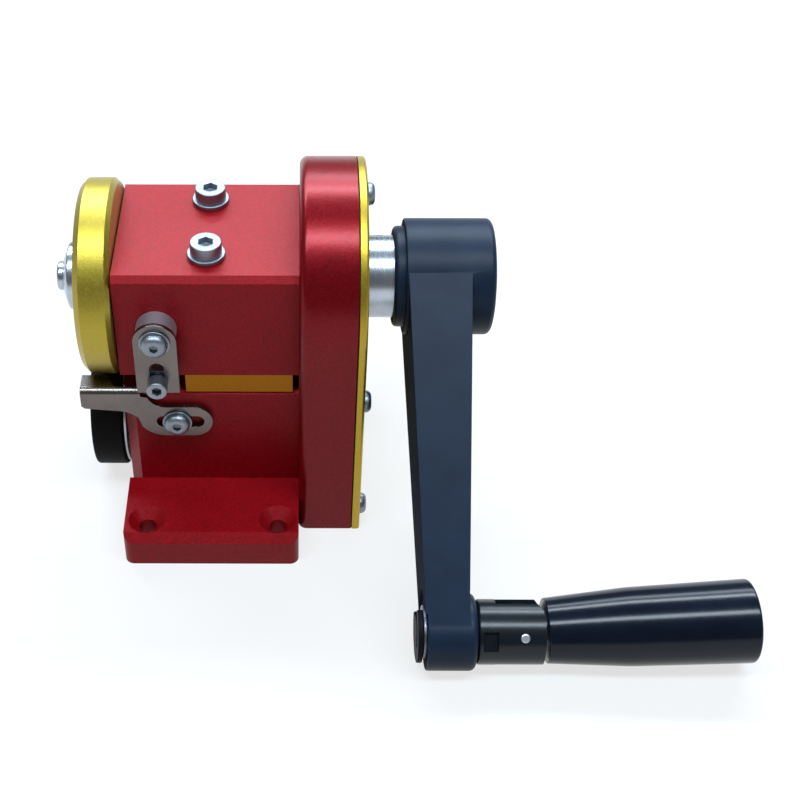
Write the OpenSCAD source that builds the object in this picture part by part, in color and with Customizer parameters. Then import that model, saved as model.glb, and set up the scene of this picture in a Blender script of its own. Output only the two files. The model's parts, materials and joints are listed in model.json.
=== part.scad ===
// Hand-cranked two-roller feeding machine: clamped bearing blocks, side gear case, folding crank handle.
// Millimetres. X runs along the shafts towards the crank, Y away from the foot, Z up; the bench is Z = 0.

/* [Bearing blocks] */
// Width of the two bearing blocks along the shafts
block_w = 58; // [54:1:62]
// Depth of the two bearing blocks
block_d = 53.8; // [50:0.2:58]
// Height of the lower bearing block
lower_h = 52.8; // [51:0.2:53.2]
// Thickness of the gold spacer between the blocks
spacer_t = 7.4; // [7:0.2:8.4]
// Height of the upper bearing block
upper_h = 38.9; // [37:0.1:42]
// Chamfer on the long top edges of the upper block
top_chamfer = 2; // [0.5:0.25:3]
// Chamfer on the front left corner of the lower block
corner_chamfer = 3.8; // [1:0.2:4]
// Height of the lower roller shaft above the bench
roller_z = 25; // [24.6:0.1:25.4]

/* [Foot] */
// How far the foot reaches in front of the lower block
foot_reach = 28.1; // [24:0.1:34]
// Thickness of the foot
foot_h = 12.8; // [9:0.2:16]
// How far the foot stands out past the left face of the block
foot_side = 0.6; // [0:0.1:2]
// Chamfer on the front top edge of the foot
foot_chamfer = 2.8; // [1:0.2:4]
// Radius of the vertical front corners of the foot
foot_corner_r = 3; // [1:0.5:5]
// Distance between the two mounting holes
foot_hole_gap = 44; // [38:1:46]
// Distance of the mounting holes from the front edge
foot_hole_y = 8.6; // [8:0.2:12]
// Radius of the mounting holes
foot_hole_r = 2.9; // [2:0.1:3.5]
// Radius of the mounting holes' countersinks at the surface
foot_sink_r = 6.3; // [5.5:0.1:7]

/* [Block clamping screws] */
// Distance of each clamping screw from the shaft plane
clamp_y = 15; // [14.6:0.1:17]
// Thread radius of the clamping screws
clamp_r = 3; // [2.5:0.1:3.1]
// Length of the clamping screws under the head
clamp_len = 60; // [56:1:61]
// Radius of the clamping screw heads
clamp_head_r = 5; // [4.2:0.1:5.4]
// Height of the clamping screw heads
clamp_head_h = 4; // [3:0.1:6]
// Outer radius of the clamping screw washers
clamp_washer_r = 6; // [5.6:0.1:8]
// Thickness of the clamping screw washers
clamp_washer_t = 1.6; // [1:0.1:2]

/* [Bearings and shafts] */
// Radius of both shafts
shaft_r = 7.5; // [7:0.1:7.8]
// Radius of the shaft ends that carry the wheel and the roller
seat_r = 6; // [5:0.1:6.4]
// Outer radius of the ball bearings
bearing_r = 14; // [13.6:0.1:14.4]
// Width of the ball bearings
bearing_w = 7; // [5:0.5:9]
// Radius of the relief bore between the bearings
relief_r = 10.5; // [9.6:0.1:10.9]

/* [Feed wheel and pressure roller] */
// Radius of the gold feed wheel
wheel_r = 32; // [31:0.1:32]
// Width of the gold feed wheel
wheel_w = 11.4; // [10:0.2:13]
// Edge chamfer of the feed wheel
wheel_chamfer = 1.9; // [0.5:0.1:2.4]
// Gap between the bearing block and the feed wheel
wheel_gap = 0.4; // [0.3:0.1:1]
// Gap between the feed wheel and the pressure roller
feed_gap = 0.3; // [0.1:0.05:1.5]
// Radius of the conical washer that clamps the wheel
wheel_washer_r = 11.1; // [9:0.1:13]
// Thickness of the conical washer
wheel_washer_t = 7.2; // [6:0.1:8.5]
// Length of the straight rim of the conical washer
wheel_washer_rim = 5.1; // [2:0.1:5.8]
// Radius of the conical washer under the screw head
wheel_washer_nose = 5.6; // [5.2:0.1:8]
// Width of the pressure roller
roller_w = 11; // [10:0.5:13]
// Thickness of the steel disc behind the pressure roller
roller_disc_t = 1; // [0.6:0.1:1]

/* [Gear case] */
// Width of the gear case rim around the drive gear's cavity
case_rim = 5.65; // [5.15:0.05:6.5]
// Width of the gear case along the shafts
case_w = 18; // [17.2:0.2:20]
// Thickness of the case wall against the blocks
case_wall = 3; // [2.6:0.2:3.4]
// Rounding of the case edge next to the blocks
case_round = 2.8; // [1:0.2:2.9]
// Thickness of the gasket under the cover
gasket_t = 0.4; // [0.2:0.1:0.8]
// Thickness of the gold gear cover
cover_t = 2.6; // [2:0.2:4]
// Rounding of the outer edge of the cover
cover_round = 1; // [0.4:0.2:1.4]
// Thread radius of the cover screws
cover_screw_r = 1.25; // [1:0.05:1.3]
// Head radius of the cover screws
cover_head_r = 3.6; // [2.4:0.05:3.6]
// Head height of the cover screws
cover_head_h = 2.2; // [1.2:0.1:2.6]
// Angle of the top cover screw from straight up towards the foot
cover_top_angle = 7; // [0:1:20]

/* [Gears] */
// Gear module
gear_m = 1; // [1:0.01:1.01]
// Face width of the gears
gear_w = 11; // [8:0.5:11]
// Half thickness of a gear tooth at the pitch circle, per unit of module
tooth_half = 0.71; // [0.6:0.01:0.74]

/* [Crank] */
// Radius of the crank, shaft to handle axle
crank_len = 115; // [95:1:140]
// Angle of the crank at rest, from straight down towards the front
crank_rest = 53.8; // [53.8:0.2:90]
// Radius of the crank hub
hub_r = 19; // [16:0.5:21]
// Length of the crank hub
hub_w = 28.5; // [26:0.5:32]
// Rounding of the outer hub edge
hub_round = 2; // [0.5:0.25:3]
// Radius of the bright shaft sleeve
sleeve_r = 13.5; // [12:0.25:14.5]
// Length of the shaft sleeve outside the cover
sleeve_out = 9.4; // [6:0.1:14]
// Radius of the collar on the crank hub
collar_r = 16.5; // [15:0.25:19]
// Length of the collar on the crank hub
collar_w = 3.5; // [3:0.25:6]
// Thickness of the crank arm at the hub
arm_t_hub = 20.5; // [16:0.5:22]
// Thickness of the crank arm at the handle
arm_t_end = 13.4; // [12:0.2:15]
// Offset of the arm's inner face from the hub to the handle
arm_step = 4.6; // [3:0.2:6]
// Radius of the boss at the handle end of the arm
end_r = 12; // [11:0.2:13]

/* [Folding handle] */
// Radius of the knuckle
knuckle_r = 10.1; // [9:0.1:10.5]
// Length of the knuckle
knuckle_len = 20.6; // [20.4:0.1:22]
// Width of the slot in the knuckle
slot_w = 7.2; // [6.4:0.1:8]
// Distance from the knuckle's arm end to its fold pin
fold_x = 14.2; // [14.1:0.1:14.6]
// Radius of the fold pin
fold_pin_r = 1.6; // [1.2:0.1:2]
// Turn of the knuckle about its own axis, fold pin above level
knuckle_turn = 40; // [0:1:60]
// Upward tilt of the grip at rest
grip_tilt = 3; // [1:0.5:5]
// Radius of the stub axle that carries the handle
axle_r = 5; // [4:0.1:5.4]
// Length of the grip
grip_len = 64.2; // [56:0.2:90]
// Radius of the grip at the knuckle
grip_r0 = 10.1; // [9.6:0.1:10.8]
// Radius of the grip at the end of its taper
grip_r1 = 12.2; // [11.4:0.1:12.6]
// Radius of the grip near its free end
grip_r2 = 13; // [12.6:0.1:14]
// Length of the tapered part of the grip
grip_taper = 26; // [18:1:34]
// Rounding of the free end of the grip
grip_round = 2.6; // [1:0.2:4]

/* [Guide plate] */
// Sheet thickness of the guide plate
guide_t = 1.8; // [1.2:0.1:2]
// Height of the top of the guide shelf above the bench
shelf_z = 54.9; // [54.8:0.1:55.4]
// Depth of the guide shelf behind its front face
shelf_d = 8; // [4:0.1:8]
// Half length of the slot that the guide plate slides on
guide_travel = 5.5; // [3:0.25:5.75]
// Half width of the slot in the guide plate
guide_slot_r = 2.4; // [2.3:0.05:2.8]
// Head radius of the small button head screws
button_r = 4.25; // [3.8:0.05:4.6]
// Head height of the small button head screws
button_h = 2.5; // [2:0.1:3]
// Thread radius of the small screws
small_r = 2; // [1.6:0.05:2.2]

/* [Hanging link] */
// Length of the standoff post
post_len = 6.4; // [5.8:0.1:9]
// Radius of the standoff post
post_r = 6.4; // [5.4:0.1:6.4]
// Width of the hanging link
link_w = 13.7; // [12:0.1:16]
// Sheet thickness of the hanging link
link_t = 1.5; // [1:0.1:2.5]
// Length of the hanging link from the post axis down
link_drop = 20.8; // [20:0.1:21.5]
// Travel of the stop screw along the link slot
stop_travel = 5.5; // [3:0.25:5.5]
// Head radius of the stop screw
stop_head_r = 3.3; // [2.8:0.1:3.6]
// Head height of the stop screw
stop_head_h = 4.6; // [3:0.1:6]

/* [Hidden] */
$fn = 48;
eps = 0.01;

// colours of the finishes
c_red = [0.62, 0.07, 0.10];
c_gold = [0.80, 0.68, 0.20];
c_steel = [0.75, 0.76, 0.78];
c_black = [0.13, 0.15, 0.18];
c_grip = [0.08, 0.09, 0.14];
c_rubber = [0.10, 0.10, 0.11];
c_seal = [0.12, 0.10, 0.08];

// fits between separate pieces
press_gap = 0.02;
run_gap = 0.05;
thread_gap = 0.02;
bolt_gap = 0.2;
face_gap = 0.2;

// tooth counts of the two gears, which set the distance between the shafts
drive_teeth = 64;
driven_teeth = 46;

// positions that several pieces share
half_w = block_w / 2;
half_d = block_d / 2;
spacer_z = lower_h + spacer_t;
spacer_step = 21;
top_z = spacer_z + upper_h;
crank_z = roller_z + gear_m * (drive_teeth + driven_teeth) / 2;
foot_y = -half_d - foot_reach;
case_x = half_w;
case_end = case_x + case_w;
cover_x = case_end + gasket_t;
cover_end = cover_x + cover_t;
collar_x = cover_end + sleeve_out;
hub_x = collar_x + collar_w;
hub_end = hub_x + hub_w;
wheel_x = -half_w - wheel_gap;
wheel_end = wheel_x - wheel_w;
washer_end = wheel_end - wheel_washer_t;
roller_gap = 1;
roller_r = crank_z - roller_z - wheel_r - feed_gap;
roller_x = -half_w - roller_gap - roller_disc_t;
roller_end = roller_x - roller_w;

// shaft gears
gear_x = case_x + case_wall + 1;
gear_end = gear_x + gear_w;
cavity_top_r = drive_teeth * gear_m / 2 + gear_m + 0.25;
cavity_low_r = driven_teeth * gear_m / 2 + gear_m + 0.2;
case_r = cavity_top_r + case_rim;
gear_rim = 5;
spacer_ring_r = 9.4;
ring_bore_r = spacer_ring_r + 0.9;
key_w = 5;
key_h = 5;
key_sink = 3;
key_clear = 0.3;
gear_key_len = gear_w - 1;
gear_key_x = gear_x + 0.5;
clip_t = 1;
clip_r = 9.6;
clip_groove_r = 6.7;
drive_shaft_end = hub_end - 6;
lower_shaft_end = gear_end + clip_t + 1.2;

// bearings
inner_ring_r = 9.3;
outer_ring_bore_r = 11.9;
shield_t = 0.5;
shield_sink = 0.2;
shield_gap = 0.15;
pocket_deep = bearing_w + 0.1;

// screws into the blocks from inside the gear case
case_screw_r = 2;
case_screw_len = 9;
case_head_r = 3.9;
case_head_h = 2.3;
upper_case_y = 16;
upper_case_z = 15;
lower_case_y = 14;
lower_case_z = 12;
case_screw_at = [
  [-upper_case_y, crank_z - upper_case_z], [upper_case_y, crank_z - upper_case_z],
  [-upper_case_y, crank_z + upper_case_z], [upper_case_y, crank_z + upper_case_z],
  [-lower_case_y, roller_z - lower_case_z], [lower_case_y, roller_z - lower_case_z],
  [-lower_case_y, roller_z + lower_case_z], [lower_case_y, roller_z + lower_case_z]
];

// screws of the gear cover
cover_screw_len = 6;
cover_ring_r = case_r - cover_head_r - 0.05;
cover_side_y = case_r - 5.1;
cover_mid_z = crank_z - 24.8;
cover_low_z = 7.6;
cover_top_y = cover_ring_r * sin(cover_top_angle);
cover_top_z = crank_z + cover_ring_r * cos(cover_top_angle);
cover_screw_at = [
  [-cover_top_y, cover_top_z],
  [-cover_side_y, cover_mid_z], [cover_side_y, cover_mid_z],
  [-cover_side_y, cover_low_z], [cover_side_y, cover_low_z]
];

// feed wheel clamping
wheel_screw_r = 3;
wheel_screw_len = 20;
wheel_head_r = 4.8;
wheel_head_h = 2.1;
wheel_head_round = 1;
seat_end = wheel_end + 0.6;
seat_key_w = 4;
seat_key_h = 4;
seat_key_sink = 2.4;
wheel_key_len = wheel_w - 3;
wheel_key_x = wheel_x - 1 - wheel_key_len;
roller_sink = 5;
roller_sink_r = 9;
roller_seat_end = roller_end + roller_sink + 0.5;
roller_bore_end = roller_seat_end + 16;
roller_washer_t = 1.2;
roller_screw_len = 15;
roller_head_r = 5;
roller_head_h = 2.8;
roller_key_len = 4.5;
roller_key_x = roller_x - roller_key_len - 0.3;
roller_chamfer = 1;

// crank hub fastening
hub_sink_r = 9;
hub_washer_x = drive_shaft_end + 0.4;
hub_washer_t = 1.6;
hub_screw_x = hub_washer_x + hub_washer_t;
hub_washer_r = 8.6;
hub_screw_r = 3;
hub_screw_len = 18;
hub_head_r = 5;
hub_head_h = 3.2;
hub_key_len = 20;
set_screw_r = 2;
set_screw_x = cover_end + 4.4;
set_screw_turn = 33;

// folding handle, along the axle from the arm
arm_inset = 0.3;
arm_left = hub_x + 0.3;
arm_left_end = arm_left + arm_step;
arm_right_end = arm_left_end + arm_t_end;
boss_x0 = arm_left_end + 0.5;
boss_x1 = arm_left + arm_t_hub;
bush_flange_t = 1;
bush_flange_r = 8.2;
bush_r = axle_r + 1;
axle_clip_t = 1.6;
axle_clip_r = 9.6;
axle_clip_flat = 6.4;
axle_clip_gap = 8.4;
axle_groove_r = axle_r - 1;
axle_clip_x = boss_x0 - bush_flange_t - face_gap - axle_clip_t;
axle_end = axle_clip_x - 0.2;
axle_in_fork = 4.5;
fork_x0 = boss_x1 + face_gap;
fork_x1 = fork_x0 + knuckle_len;
fold_px = fork_x0 + fold_x;
fork_nose = fork_x1 - fold_px;
fork_round = 5;
fork_root = 8.3;
fork_pocket = [1.5, 4.6];
fork_pocket_z = [-4.3, 1.9];
fork_pocket_deep = 1.6;
tongue_r = 7.3;
tongue_gap = 0.1;
spindle_r = 3.3;
grip_from = fork_nose + 1;
spindle_len = 52;
pocket_from = 22;
grip_pocket_r = 6.6;
nut_t = 5;
nut_r = 5.6;
plug_t = 6;

// guide plate
guide_y = -half_d - face_gap;
guide_front = guide_y - guide_t;
guide_screw_x = 17.7 - half_w;
guide_screw_z = lower_h - 11.4;
guide_washer_t = 0.8;
guide_washer_r = 4.9;
guide_left = -half_w - 13.6;
guide_bend_x = 6.1 - half_w;
guide_arm_r = 6.35;
guide_slot_mid = guide_screw_x + 1;
guide_arm_end = guide_slot_mid + guide_travel + 1.4;
bend_r = 2.4;
small_len = 10;

// hanging link
link_x = 13.1 - half_w;
link_z = top_z - 18.8;
link_back = -half_d - post_len;
link_front = link_back - link_t;
stop_z = link_z - 16.3;
stop_nut_t = 3;
stop_nut_r = 4.04;
stop_len = post_len + link_t - 1.2;
link_slot_r = 2.3;

// round bar along X
module xbar(x0, x1, r, y, z) {
  translate([x0, y, z]) rotate([0, 90, 0]) cylinder(h = x1 - x0, r = r);
}

// round bar along Y
module ybar(y0, y1, r, x, z) {
  translate([x, y0, z]) rotate([-90, 0, 0]) cylinder(h = y1 - y0, r = r);
}

// turned shape along X from a profile of radius and length
module xturn(x0, y, z) {
  translate([x0, y, z]) rotate([0, 90, 0]) rotate_extrude() children();
}

// tube along X
module xtube(x0, x1, r_out, r_in, y, z) {
  difference() {
    xbar(x0, x1, r_out, y, z);
    xbar(x0 - 1, x1 + 1, r_in, y, z);
  }
}

// flat profile in the YZ plane, thickened along X
module xplate(x0, x1) {
  translate([x0, 0, 0]) rotate([90, 0, 90]) linear_extrude(height = x1 - x0) children();
}

// flat profile in the XZ plane, thickened along Y
module yplate(y0, y1) {
  translate([0, y1, 0]) rotate([90, 0, 0]) linear_extrude(height = y1 - y0) children();
}

// hexagon socket going down from the origin
module socket(r, deep) {
  translate([0, 0, -deep]) cylinder(h = deep + 1, r = r, $fn = 6);
}

// button head screw: seat at the origin, head up, thread down
module button_screw(head_r, head_h, thread_r, len, hex_r) {
  dome_r = (head_r * head_r + head_h * head_h) / (2 * head_h);
  difference() {
    union() {
      intersection() {
        cylinder(h = head_h, r = head_r);
        translate([0, 0, head_h - dome_r]) sphere(r = dome_r);
      }
      translate([0, 0, -len]) cylinder(h = len + head_h / 3, r = thread_r);
    }
    translate([0, 0, head_h]) socket(hex_r, head_h * 0.55);
  }
}

// cap screw: seat at the origin, head up, thread down
module cap_screw(head_r, head_h, thread_r, len, hex_r) {
  edge = 0.4;
  difference() {
    union() {
      cylinder(h = head_h - edge, r = head_r);
      translate([0, 0, head_h - edge]) cylinder(h = edge, r1 = head_r, r2 = head_r - edge);
      translate([0, 0, -len]) cylinder(h = len + eps, r = thread_r);
    }
    translate([0, 0, head_h]) socket(hex_r, head_h * 0.55);
  }
}

// pan head screw: seat at the origin, head up, thread down
module pan_screw(head_r, head_h, round, thread_r, len, hex_r) {
  difference() {
    union() {
      translate([0, 0, head_h]) mirror([0, 0, 1]) rotate_extrude() rounded_strip(head_r, head_h, round);
      translate([0, 0, -len]) cylinder(h = len + eps, r = thread_r);
    }
    translate([0, 0, head_h]) socket(hex_r, head_h * 0.8);
  }
}

// countersunk screw: surface at the origin, thread down
module flat_screw(head_r, head_h, thread_r, len, hex_r) {
  difference() {
    union() {
      translate([0, 0, -head_h]) cylinder(h = head_h, r1 = thread_r, r2 = head_r);
      translate([0, 0, -len]) cylinder(h = len - head_h + eps, r = thread_r);
    }
    socket(hex_r, head_h * 0.6);
  }
}

// points of an arc, in the order given by the angles
function arc(cx, cy, r, a0, a1, n) = [
  for (i = [0:n]) let(a = a0 + (a1 - a0) * i / n) [cx + r * cos(a), cy + r * sin(a)]
];

// key lying on top of a shaft
module shaft_key(x0, len, w, h, sink, r, z) {
  translate([x0, -w / 2, z + r - sink]) cube([len, w, h]);
}

// hollow for that key, in the shaft and in the hub
module key_hollow(x0, len, w, h, sink, r, z) {
  translate([x0, -w / 2 - press_gap, z + r - sink]) cube([len, w + 2 * press_gap, h + key_clear]);
}

// two bearing pockets and the relief bore in a block
module block_bores(z) {
  xbar(-half_w - 1, half_w + 1, relief_r, 0, z);
  xbar(-half_w - 1, -half_w + pocket_deep, bearing_r + press_gap, 0, z);
  xbar(half_w - pocket_deep, half_w + 1, bearing_r + press_gap, 0, z);
}

// threaded holes for the gear case screws
module case_threads() {
  for (p = case_screw_at) {
    xbar(case_x - case_screw_len, case_x + 1, case_screw_r + thread_gap, p[0], p[1]);
  }
}

// side profile of the lower block and its foot
module foot_profile() {
  edge = 1;
  polygon([
    [foot_y, 0], [half_d, 0], [half_d, lower_h - edge], [half_d - edge, lower_h],
    [-half_d + edge, lower_h], [-half_d, lower_h - edge], [-half_d, foot_h],
    [foot_y + foot_chamfer, foot_h], [foot_y, foot_h - foot_chamfer]
  ]);
}

// plan of the lower block and its foot
module foot_plan() {
  x0 = -half_w - foot_side;
  r = foot_corner_r;
  translate([x0, foot_y + r]) square([half_w - x0, foot_reach - r + eps]);
  translate([x0 + r, foot_y]) square([half_w - x0 - 2 * r, foot_reach]);
  translate([x0 + r, foot_y + r]) circle(r);
  translate([half_w - r, foot_y + r]) circle(r);
}

// plan of the block above the foot
module block_plan() {
  c = corner_chamfer;
  polygon([
    [-half_w + c, -half_d], [half_w, -half_d], [half_w, half_d], [-half_w + c, half_d],
    [-half_w, half_d - c], [-half_w, -half_d + c]
  ]);
}

module lower_body() {
  color(c_red) difference() {
    intersection() {
      xplate(-half_w - foot_side, half_w) foot_profile();
      union() {
        linear_extrude(height = foot_h) foot_plan();
        linear_extrude(height = top_z) block_plan();
      }
    }
    block_bores(roller_z);
    case_threads();
    for (side = [-1, 1]) {
      translate([side * foot_hole_gap / 2, foot_y + foot_hole_y, -1]) {
        cylinder(h = foot_h + 2, r = foot_hole_r);
        translate([0, 0, foot_h + 1 - foot_sink_r + foot_hole_r])
          cylinder(h = foot_sink_r - foot_hole_r, r1 = foot_hole_r, r2 = foot_sink_r);
        translate([0, 0, foot_h + 1]) cylinder(h = 1, r = foot_sink_r);
      }
      translate([0, side * clamp_y, top_z + clamp_washer_t - clamp_len - 1])
        cylinder(h = clamp_len, r = clamp_r + thread_gap);
    }
    ybar(-half_d - 1, -half_d + small_len, small_r + thread_gap, guide_screw_x, guide_screw_z);
  }
}

module upper_body() {
  c = top_chamfer;
  color(c_red) difference() {
    xplate(-half_w, half_w) polygon([
      [-half_d, spacer_z], [half_d, spacer_z], [half_d, top_z - c], [half_d - c, top_z],
      [-half_d + c, top_z], [-half_d, top_z - c]
    ]);
    block_bores(crank_z);
    case_threads();
    for (side = [-1, 1]) {
      translate([0, side * clamp_y, spacer_z - 1]) cylinder(h = upper_h + 2, r = clamp_r + bolt_gap);
    }
    ybar(-half_d - 1, -half_d + small_len, small_r + thread_gap, link_x, link_z);
  }
}

module spacer_plate() {
  x0 = -half_w + spacer_step;
  x1 = half_w - 2;
  color(c_gold) difference() {
    translate([x0, -half_d + face_gap, lower_h]) cube([x1 - x0, block_d - 2 * face_gap, spacer_t]);
    for (side = [-1, 1]) {
      translate([0, side * clamp_y, lower_h - 1]) cylinder(h = spacer_t + 2, r = clamp_r + bolt_gap);
    }
  }
}

module clamp_screws() {
  color(c_steel) for (side = [-1, 1]) {
    translate([0, side * clamp_y, top_z + clamp_washer_t])
      cap_screw(clamp_head_r, clamp_head_h, clamp_r, clamp_len, clamp_head_r * 0.52);
  }
}

module clamp_washers() {
  color(c_steel) for (side = [-1, 1]) {
    translate([0, side * clamp_y, top_z]) difference() {
      cylinder(h = clamp_washer_t, r = clamp_washer_r);
      translate([0, 0, -1]) cylinder(h = clamp_washer_t + 2, r = clamp_r + bolt_gap);
    }
  }
}

// outline of the gear case, closed straight down to the bench
module case_outline(r) {
  translate([0, crank_z]) circle(r, $fn = 96);
  translate([-r, 0]) square([2 * r, crank_z]);
}

// quarter-round corner at the start of a strip of width w and height r
module rounded_strip(r, w, round) {
  square([r - round, w]);
  translate([0, round]) square([r, w - round]);
  translate([r - round, round]) circle(round);
}

// gear case solid with its edge rounded at the start
module case_solid(x0, w, r, round) {
  translate([x0, 0, crank_z]) rotate([0, 90, 0]) rotate_extrude($fn = 96) rounded_strip(r, w, round);
  for (side = [0, 1]) {
    mirror([0, side, 0]) linear_extrude(height = crank_z)
      translate([x0, 0]) rotate(90) mirror([0, 1]) rounded_strip(r, w, round);
  }
}

// cavity around both gears
module gear_cavity() {
  xbar(case_x + case_wall, case_end + 1, cavity_top_r, 0, crank_z, $fn = 96);
  xbar(case_x + case_wall, case_end + 1, cavity_low_r, 0, roller_z, $fn = 96);
}

module gear_case() {
  color(c_red) difference() {
    case_solid(case_x, case_w, case_r, case_round);
    gear_cavity();
    xbar(case_x - 1, case_end, ring_bore_r, 0, crank_z);
    xbar(case_x - 1, case_end, ring_bore_r, 0, roller_z);
    for (p = case_screw_at) {
      xbar(case_x - 1, case_end, case_screw_r + bolt_gap, p[0], p[1]);
      translate([case_x + case_wall - case_head_h - 0.1, p[0], p[1]]) rotate([0, 90, 0])
        cylinder(h = case_head_h + 0.1, r1 = case_screw_r, r2 = case_head_r + 0.1);
    }
    for (p = cover_screw_at) {
      xbar(cover_x - cover_screw_len, cover_x, cover_screw_r + thread_gap, p[0], p[1]);
    }
  }
}

module case_screws() {
  color(c_steel) for (p = case_screw_at) {
    translate([case_x + case_wall, p[0], p[1]]) rotate([0, 90, 0])
      flat_screw(case_head_r, case_head_h, case_screw_r, case_wall + case_screw_len - 0.5, 1.3);
  }
}

// openings shared by the gasket and the cover
module cover_openings() {
  for (p = cover_screw_at) {
    xbar(case_end - 1, cover_end + 1, cover_screw_r + bolt_gap, p[0], p[1]);
  }
}

module cover_gasket() {
  color(c_seal) difference() {
    xplate(case_end, cover_x) case_outline(case_r - 0.4);
    gear_cavity();
    cover_openings();
  }
}

module gear_cover() {
  color(c_gold) difference() {
    mirror([1, 0, 0]) case_solid(-cover_end, cover_t, case_r, cover_round);
    xbar(case_end, cover_end + 1, sleeve_r + 0.35, 0, crank_z);
    cover_openings();
  }
}

module cover_screws() {
  len = cover_t + gasket_t + cover_screw_len - 0.5;
  color(c_steel) for (p = cover_screw_at) {
    translate([cover_end, p[0], p[1]]) rotate([0, 90, 0])
      button_screw(cover_head_r, cover_head_h, cover_screw_r, len, 1.1);
  }
}

// the four bearing positions as start and height
bearing_at = [
  [-half_w, crank_z], [half_w - bearing_w, crank_z], [-half_w, roller_z], [half_w - bearing_w, roller_z]
];

module bearing_outers() {
  color(c_steel) for (b = bearing_at) {
    xtube(b[0], b[0] + bearing_w, bearing_r, outer_ring_bore_r, 0, b[1]);
  }
}

module bearing_shields() {
  color(c_seal) for (b = bearing_at) {
    for (side = [shield_sink, bearing_w - shield_sink - shield_t]) {
      xtube(b[0] + side, b[0] + side + shield_t, outer_ring_bore_r, inner_ring_r + shield_gap, 0, b[1]);
    }
  }
}

// both inner rings on one shaft
module inner_rings(z) {
  for (x = [-half_w, half_w - bearing_w]) {
    xtube(x, x + bearing_w, inner_ring_r, shaft_r + press_gap, 0, z);
  }
}

module upper_inners() {
  color(c_steel) inner_rings(crank_z);
}

module lower_inners() {
  color(c_steel) inner_rings(roller_z);
}

// axis of the sleeve's set screw, which leans back at rest
module at_set_screw() {
  translate([set_screw_x, 0, crank_z]) rotate([-set_screw_turn, 0, 0]) children();
}

module crank_shaft() {
  color(c_steel) difference() {
    union() {
      xbar(wheel_x, drive_shaft_end, shaft_r, 0, crank_z);
      xbar(seat_end, wheel_x + eps, seat_r, 0, crank_z);
    }
    xbar(seat_end - 1, washer_end + wheel_screw_len + 1, wheel_screw_r + thread_gap, 0, crank_z);
    xbar(hub_screw_x - hub_screw_len - 0.4, drive_shaft_end + 1, hub_screw_r + thread_gap, 0, crank_z);
    key_hollow(wheel_key_x, wheel_key_len, seat_key_w, seat_key_h, seat_key_sink, seat_r, crank_z);
    key_hollow(gear_key_x, gear_key_len, key_w, key_h, key_sink, shaft_r, crank_z);
    key_hollow(hub_x + 1, hub_key_len, key_w, key_h, key_sink, shaft_r, crank_z);
    at_set_screw() translate([0, 0, shaft_r - 1]) cylinder(h = 3, r = set_screw_r + thread_gap);
  }
}

module feed_wheel() {
  c = wheel_chamfer;
  color(c_gold) difference() {
    xturn(wheel_end, 0, crank_z, $fn = 96) polygon([
      [0, 0], [wheel_r - c, 0], [wheel_r, c], [wheel_r, wheel_w - c + 0.4], [wheel_r - c + 0.4, wheel_w],
      [0, wheel_w]
    ]);
    xbar(wheel_end - 1, wheel_x + 1, seat_r + press_gap, 0, crank_z);
    key_hollow(wheel_end - 1, wheel_w + 2, seat_key_w, seat_key_h, seat_key_sink, seat_r, crank_z);
  }
}

module wheel_key() {
  color(c_steel)
    shaft_key(wheel_key_x, wheel_key_len, seat_key_w, seat_key_h, seat_key_sink, seat_r, crank_z);
}

module wheel_washer() {
  color(c_steel) difference() {
    xturn(washer_end, 0, crank_z) polygon([
      [0, 0], [wheel_washer_nose, 0], [wheel_washer_r, wheel_washer_t - wheel_washer_rim],
      [wheel_washer_r, wheel_washer_t], [0, wheel_washer_t]
    ]);
    xbar(washer_end - 1, wheel_end + 1, wheel_screw_r + bolt_gap, 0, crank_z);
  }
}

module wheel_screw() {
  color(c_steel) translate([washer_end, 0, crank_z]) rotate([0, -90, 0])
    pan_screw(wheel_head_r, wheel_head_h, wheel_head_round, wheel_screw_r, wheel_screw_len, 2.3);
}

module upper_gear_spacer() {
  color(c_steel) xtube(case_x, gear_x, spacer_ring_r, shaft_r + press_gap, 0, crank_z);
}

module lower_gear_spacer() {
  color(c_steel) xtube(case_x, gear_x, spacer_ring_r, shaft_r + press_gap, 0, roller_z);
}

// outline of a spur gear with one tooth on the first axis
module gear_outline(teeth) {
  pitch_r = teeth * gear_m / 2;
  half = tooth_half * gear_m;
  tip_r = pitch_r + 0.95 * gear_m;
  root_r = pitch_r - 1.25 * gear_m;
  tip = (half - 0.40 * gear_m) / tip_r * 180 / PI;
  mid = half / pitch_r * 180 / PI;
  root = (half + 0.32 * gear_m) / root_r * 180 / PI;
  tooth = [[root_r, -root], [pitch_r, -mid], [tip_r, -tip], [tip_r, tip], [pitch_r, mid], [root_r, root]];
  polygon([
    for (i = [0:teeth - 1], p = tooth) let(a = i * 360 / teeth + p[1]) [p[0] * cos(a), p[0] * sin(a)]
  ]);
}

// spur gear with bore and keyway, turned so that its teeth mesh
module spur_gear(teeth, z, turn) {
  recess_r = teeth * gear_m / 2 - gear_rim * gear_m;
  difference() {
    translate([gear_x, 0, z]) rotate([0, 90, 0]) linear_extrude(height = gear_w) rotate(turn)
      gear_outline(teeth);
    xbar(gear_x - 1, gear_end + 1, shaft_r + press_gap, 0, z);
    key_hollow(gear_x - 1, gear_w + 2, key_w, key_h, key_sink, shaft_r, z);
    xtube(gear_end - 2, gear_end + 1, recess_r, sleeve_r + 0.5, 0, z);
  }
}

module drive_gear() {
  color(c_steel) spur_gear(drive_teeth, crank_z, 0);
}

module driven_gear() {
  color(c_steel) spur_gear(driven_teeth, roller_z, driven_teeth % 2 == 0 ? 180 / driven_teeth : 0);
}

module drive_gear_key() {
  color(c_steel) shaft_key(gear_key_x, gear_key_len, key_w, key_h, key_sink, shaft_r, crank_z);
}

module driven_gear_key() {
  color(c_steel) shaft_key(gear_key_x, gear_key_len, key_w, key_h, key_sink, shaft_r, roller_z);
}

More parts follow.
